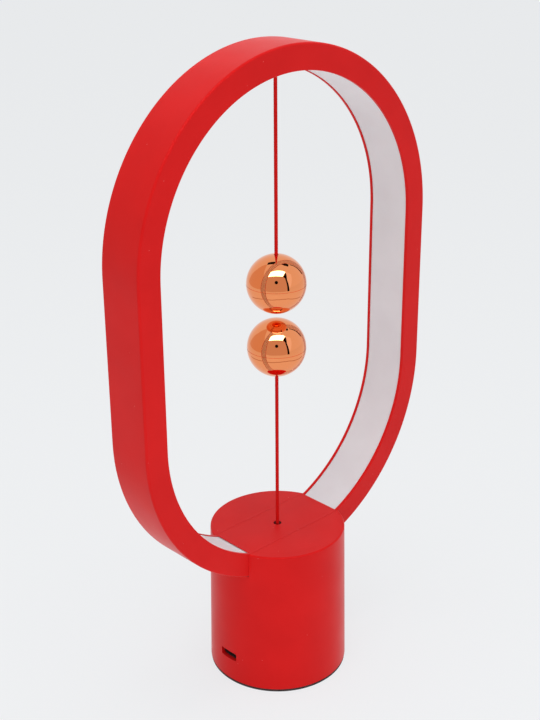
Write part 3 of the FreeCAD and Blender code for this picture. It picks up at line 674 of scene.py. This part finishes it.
def make_ball(name, body, centre, side):
    """Two plated halves. side is 1 where the cord comes in at the top and -1 where it comes in below."""
    cord_half = [(r, centre + z) for r, z in half_profile(side, CORD_HOLE)]
    piece = lathe(f"{name}_cord_cap", cord_half, 192)
    smooth(piece, ball_normals(centre), 0.7)
    install(dress(piece, "copper_mirror"), body, "copper_mirror", f"{name}_cord_half")

    skin = half_profile(-side, 0.0)
    rim = -BALL_RADIUS + MAGNET_RIM
    floor = -BALL_RADIUS + MAGNET_FLOOR
    shell, inside = skin[:75], skin[75:]
    wall = [(r, z) for r, z in inside if r > MAGNET_SEAT + 0.3]
    pocket = [(MAGNET_SEAT, side * rim), (MAGNET_HOLE, side * rim), (MAGNET_HOLE, side * floor)]
    meet = -side * sqrt(BALL_INNER**2 - MAGNET_SEAT**2)
    whole = shell + wall + [(MAGNET_SEAT, meet)] + pocket + [(0.0, side * floor)]
    piece = lathe(f"{name}_magnet_cap_shell", [(r, centre + z) for r, z in whole], 192)
    smooth(piece, ball_normals(centre), 0.7)
    install(dress(piece, "copper_mirror"), body, "copper_mirror", f"{name}_magnet_half")


# ------------------------------------------------------------------- the cords


def spline_points(route, count=24):
    """Points read from the route's own smooth line, in metres."""
    curve = bpy.data.curves.new("route", "CURVE")
    curve.dimensions = "3D"
    line = curve.splines.new("NURBS")
    line.points.add(len(route) - 1)
    for point, place in zip(line.points, route):
        point.co = (*(Vector(place) * MM), 1.0)
    line.order_u = 3
    line.use_endpoint_u = True
    line.resolution_u = count
    holder = new_object("route", curve)
    bpy.context.view_layer.update()
    mesh = bpy.data.meshes.new_from_object(holder.evaluated_get(bpy.context.evaluated_depsgraph_get()))
    points = [v.co.copy() for v in mesh.vertices]
    bpy.data.objects.remove(holder)
    bpy.data.meshes.remove(mesh)
    return points


def braid(name, route, round_start, round_end):
    """A braided cord along an upright route: eight strands that cross over and under each other.

    A round end stops at the route's end, and one given as "over" has its dome's middle there."""
    path = spline_points(route)
    low, high = path[0] / MM, path[-1] / MM
    length = (high - low).length
    direction = (high - low) / length
    before, after = (CORD_RADIUS if end == "over" else 0.0 for end in (round_start, round_end))
    whole = before + length + after
    around, rows = 24, max(12, int(whole / 0.14))
    lobes, pitch, core, relief = 4, 1.25, 0.96, 0.08
    points = []
    offset = low.z
    for i in range(rows + 1):
        along = whole * i / rows - before
        middle = low + direction * along
        shrink = 1.0
        for near, is_round in ((along + before, round_start), (length + after - along, round_end)):
            if is_round and near < 1.0:
                shrink = min(shrink, sqrt(max(1.0 - (1.0 - near) ** 2, 0.0025)))
        for j in range(around):
            turn = 2 * pi * j / around
            wave = cos(lobes * turn) * cos(2 * pi * (offset + along * direction.z) / pitch)
            radius = (core + relief * (0.5 + 0.5 * wave)) * CORD_RADIUS * shrink
            points.append(middle + X * radius * cos(turn) + Y * radius * sin(turn))
    faces = grid_faces(rows + 1, around, False, True)
    last = rows * around
    faces += [tuple(range(around)), tuple(reversed(range(last, last + around)))]
    piece = solid(name, points, faces)
    piece.data.polygons.foreach_set("use_smooth", [True] * len(piece.data.polygons))
    return dress(piece, "red_cord"), path


def make_cords():
    cord_end = UPPER_BALL + KNOT_SEAT
    route = [(0, 0, UPPER_BEND), (0, 0, 308.0), (0, 0, cord_end)]
    upper, upper_path = braid("upper_cord", route, True, False)
    install(upper, "upper_pendulum", "red_cord", "upper_string")
    route = [(0, 0, UPPER_BEND), (0, 0, 362.2), (0, 0, ANCHOR_TOP)]
    root, _ = braid("upper_cord_root", route, True, False)
    install(root, "lamp_body", "red_cord", "upper_string_exit")

    route = [(0, 0, PLUNGER_CORD_TOP), (0, 0, 88.0), (0, 0, LOWER_BEND)]
    root, _ = braid("lower_cord_root", route, False, True)
    install(root, "lamp_body", "red_cord", "lower_string_exit")
    route = [(0, 0, LOWER_BEND), (0, 0, 114.0), (0, 0, LOWER_FOLD)]
    run, run_path = braid("lower_cord_run", route, True, "over")
    install(run, "lower_run", "red_cord", "lower_string_run")

    cord_end = LOWER_BALL - KNOT_SEAT
    route = [(0, 0, LOWER_FOLD), (0, 0, 163.0), (0, 0, cord_end)]
    drop, drop_path = braid("lower_cord_drop", route, "over", False)
    install(drop, "lower_drop", "red_cord", "lower_string_drop")
    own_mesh(drop)


make_frame()
make_band()
make_base()
make_top_plate()
make_hole_shade_sleeve()
make_pad_shade_edge()
make_ball("upper_ball", "upper_pendulum", UPPER_BALL, 1)
make_ball("lower_ball", "lower_weight", LOWER_BALL, -1)
make_cords()


# ------------------------------------------------------- the floor and the light
BACKGROUND = (0.856, 0.872, 0.889)
ROOM = (0.90, 0.90, 0.90)
ROOM_LIGHT = 0.655
FLOOR_SHARE = 0.83  # of the floor's own colour where it is seen, and the rest keeps the shadow


def emitter(name, colour, strength):
    """A plain glowing material that isn't sampled as a lamp."""
    made = bpy.data.materials.new(name)
    made.use_nodes = True
    tree = made.node_tree
    tree.nodes.remove(tree.nodes["Principled BSDF"])
    glow = tree.nodes.new("ShaderNodeEmission")
    glow.inputs["Color"].default_value = (*colour, 1.0)
    glow.inputs["Strength"].default_value = strength
    made.cycles.emission_sampling = "NONE"
    tree.links.new(glow.outputs[0], tree.nodes["Material Output"].inputs["Surface"])
    return made


def make_world():
    """Even light from all round, with the pale background for the camera and for mirrors."""
    world = bpy.data.worlds.new("studio")
    scene.world = world
    world.use_nodes = True
    tree = world.node_tree
    room = tree.nodes["Background"]
    room.inputs["Color"].default_value = (*ROOM, 1.0)
    room.inputs["Strength"].default_value = ROOM_LIGHT
    seen = tree.nodes.new("ShaderNodeBackground")
    seen.inputs["Color"].default_value = (*BACKGROUND, 1.0)
    ray = tree.nodes.new("ShaderNodeLightPath")
    mirrored_too = tree.nodes.new("ShaderNodeMath")
    mirrored_too.operation = "MAXIMUM"
    mix = tree.nodes.new("ShaderNodeMixShader")
    tree.links.new(ray.outputs["Is Camera Ray"], mirrored_too.inputs[0])
    tree.links.new(ray.outputs["Is Glossy Ray"], mirrored_too.inputs[1])
    tree.links.new(mirrored_too.outputs[0], mix.inputs[0])
    tree.links.new(room.outputs[0], mix.inputs[1])
    tree.links.new(seen.outputs[0], mix.inputs[2])
    tree.links.new(mix.outputs[0], tree.nodes["World Output"].inputs["Surface"])


def make_floor():
    """A pale floor that shows its own pale colour to the camera and keeps a share of the lamp's shadow."""
    reach = 9.0
    corners = [(-reach, -reach, 0), (reach, -reach, 0), (reach, reach, 0), (-reach, reach, 0)]
    mesh = bpy.data.meshes.new("floor")
    mesh.from_pydata(corners, [], [(0, 1, 2, 3)])
    floor = new_object("floor", mesh)
    paint = bpy.data.materials.new("floor")
    paint.use_nodes = True
    tree = paint.node_tree
    surface = tree.nodes["Principled BSDF"]
    surface.inputs["Base Color"].default_value = (0.96, 0.97, 0.975, 1.0)
    surface.inputs["Roughness"].default_value = 0.9
    surface.inputs["Specular IOR Level"].default_value = 0.0
    seen = tree.nodes.new("ShaderNodeEmission")
    seen.inputs["Color"].default_value = (*BACKGROUND, 1.0)
    ray = tree.nodes.new("ShaderNodeLightPath")
    either = tree.nodes.new("ShaderNodeMath")
    either.operation = "MAXIMUM"
    share = tree.nodes.new("ShaderNodeMath")
    share.operation = "MULTIPLY"
    share.inputs[1].default_value = FLOOR_SHARE
    mix = tree.nodes.new("ShaderNodeMixShader")
    tree.links.new(ray.outputs["Is Camera Ray"], either.inputs[0])
    tree.links.new(ray.outputs["Is Glossy Ray"], either.inputs[1])
    tree.links.new(either.outputs[0], share.inputs[0])
    tree.links.new(share.outputs[0], mix.inputs[0])
    tree.links.new(surface.outputs[0], mix.inputs[1])
    tree.links.new(seen.outputs[0], mix.inputs[2])
    tree.links.new(mix.outputs[0], tree.nodes["Material Output"].inputs["Surface"])
    mesh.materials.append(paint)


BALL_PLACE = Vector((0, 0, UPPER_BALL * MM))
TO_EYE = (eye - BALL_PLACE).normalized()
ACROSS = (right - TO_EYE * right.dot(TO_EYE)).normalized()
ALONG = TO_EYE.cross(ACROSS)


def mirrored(x, y):
    """The direction that a ball shows at (x, y), measured from its middle in its own radii."""
    depth = sqrt(1 - x * x - y * y)
    return ACROSS * (2 * depth * x) + ALONG * (2 * depth * y) + TO_EYE * (2 * depth * depth - 1)


def card(name, corners, distance, colour, strength=1.0):
    """A panel of the studio that only mirrors show, from the places of its corners in the upper ball."""
    mesh = bpy.data.meshes.new(name)
    points = [BALL_PLACE + mirrored(x, y) * distance for x, y in corners]
    centre = sum(points, Vector()) / len(points)
    count = len(points)
    faces = [(k, (k + 1) % count, count) for k in range(count)]
    mesh.from_pydata(points + [centre], [], faces)
    panel = new_object(name, mesh)
    mesh.materials.append(emitter(name, colour, strength))
    panel.visible_camera = False
    panel.visible_diffuse = False
    panel.visible_shadow = False
    panel.visible_transmission = False
    panel.visible_volume_scatter = False


def line_card(name, route, half_width, distance, colour):
    """A thin dark line of the studio, along places in the upper ball."""
    for k, ((x0, y0), (x1, y1)) in enumerate(zip(route, route[1:])):
        across = Vector((y0 - y1, x1 - x0)).normalized() * half_width
        corners = [(x0 - across.x, y0 - across.y), (x1 - across.x, y1 - across.y)]
        corners += [(x1 + across.x, y1 + across.y), (x0 + across.x, y0 + across.y)]
        card(f"{name}_{k}", corners, distance, colour)


# The studio as the upper ball shows it: each panel's corners, distance in metres, colour and strength.
PANELS = (
    ("card_softbox",
     [(-0.27, 0.21), (-0.20, 0.36), (0.0, 0.41), (0.22, 0.40), (0.30, 0.36), (0.27, 0.20)],
     1.5, (0.82, 0.92, 1.0), 10.0),
    ("card_glow",
     [(0.27, 0.10), (0.29, 0.37), (0.47, 0.30), (0.50, 0.12), (0.44, -0.16), (0.30, -0.20)],
     1.6, (0.97, 1.06, 1.22), 1.0),
    ("card_front",
     [(-0.29, 0.205), (0.31, 0.205), (0.37, -0.06), (0.37, -0.32), (0.0, -0.33), (-0.36, -0.31)],
     1.3, (0.67, 0.58, 0.54), 1.0),
    ("card_flag",
     [(0.285, 0.37), (0.325, 0.29), (0.345, 0.12), (0.425, -0.25), (0.36, -0.29), (0.295, 0.12),
      (0.27, 0.20), (0.205, 0.225)],
     1.1, (0.006, 0.004, 0.004), 1.0),
    ("card_bar_left",
     [(-0.295, 0.60), (-0.27, 0.675), (-0.02, 0.705), (-0.05, 0.62)],
     1.2, (0.01, 0.01, 0.01), 1.0),
    ("card_bar_right",
     [(0.07, 0.635), (0.12, 0.678), (0.40, 0.615), (0.38, 0.545), (0.26, 0.575)],
     1.2, (0.01, 0.01, 0.01), 1.0),
    ("card_side",
     [(-0.28, 0.62), (-0.62, 0.46), (-0.86, 0.17), (-0.90, -0.13), (-0.72, -0.50), (-0.42, -0.42), (-0.40, 0.10)],
     1.8, (0.74, 0.57, 0.46), 1.0),
)
WIRE = [(0.43, 0.61), (0.55, 0.575), (0.65, 0.52), (0.75, 0.425), (0.83, 0.31)]
TABLE_EDGE = [(-0.77, -0.43), (-0.60, -0.475), (-0.38, -0.49), (-0.18, -0.525), (0.0, -0.515)]
TABLE_EDGE += [(0.20, -0.50), (0.38, -0.485), (0.60, -0.48), (0.78, -0.42)]
LENS_RADIUS, LENS_HEIGHT = 0.056, 0.03


def make_studio():
    for panel in PANELS:
        card(*panel)
    line_card("card_wire", WIRE, 0.012, 1.2, (0.02, 0.02, 0.02))
    line_card("card_edge", TABLE_EDGE, 0.010, 0.33, (0.50, 0.36, 0.30))
    turns = [pi * k / 8 for k in range(16)]
    disc = [(LENS_RADIUS * cos(t), LENS_HEIGHT + LENS_RADIUS * sin(t)) for t in turns]
    card("card_lens", disc, 0.9, (0.004, 0.004, 0.004))


def lamp(name, place, aim, side, power):
    """A square soft light that mirrors don't show."""
    light = bpy.data.lights.new(name, "AREA")
    light.shape, light.size, light.energy = "SQUARE", side, power
    holder = bpy.data.objects.new(name, light)
    scene.collection.objects.link(holder)
    holder.location = place
    holder.rotation_euler = (Vector(aim) - Vector(place)).to_track_quat("-Z", "Y").to_euler()
    holder.visible_glossy = False


make_world()
make_floor()
make_studio()
lamp("top", (-0.10, -0.08, 1.2), (0, 0, 0.2), 0.6, 4.6)
lamp("near", (0.02, -0.40, 0.32), (0, 0, 0.09), 0.2, 0.18)
lamp("left", (-0.42, -0.32, 0.20), (-0.09, 0, 0.2), 0.2, 0.32)
